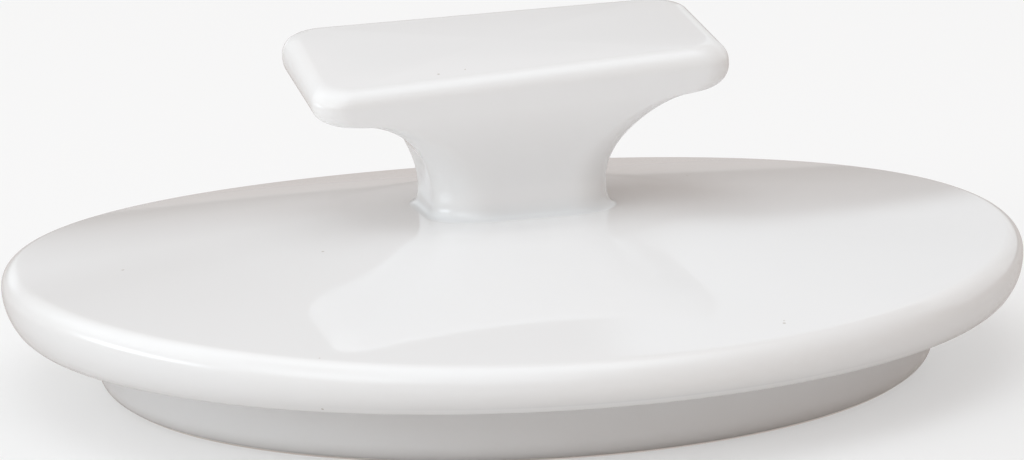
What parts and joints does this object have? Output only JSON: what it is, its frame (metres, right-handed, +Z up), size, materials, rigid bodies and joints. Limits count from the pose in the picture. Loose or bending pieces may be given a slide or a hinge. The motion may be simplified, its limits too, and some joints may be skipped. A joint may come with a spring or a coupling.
{
  "type": "sugar bowl lid",
  "caption": "Round glazed porcelain lid with a low domed plate, a thin rim that rises a little at the bar's ends, a locating flange underneath and a T-bar handle on a waisted stem",
  "frame": {"origin": "centre of the ring that the lid stands on, in the plane of the flange's foot", "axes": "+Z up out of the handle, X along the handle's bar, -Y the side that the bar leans to"},
  "size_m": [0.1, 0.1, 0.0339],
  "materials": {
    "glazed_porcelain": "clear gloss glaze over white porcelain"
  },
  "bodies": {
    "root": {"lid_plate": "glazed_porcelain", "locating_flange": "glazed_porcelain", "handle_foot": "glazed_porcelain", "handle_stem": "glazed_porcelain", "handle_bar": "glazed_porcelain"}
  },
  "joints": []
}
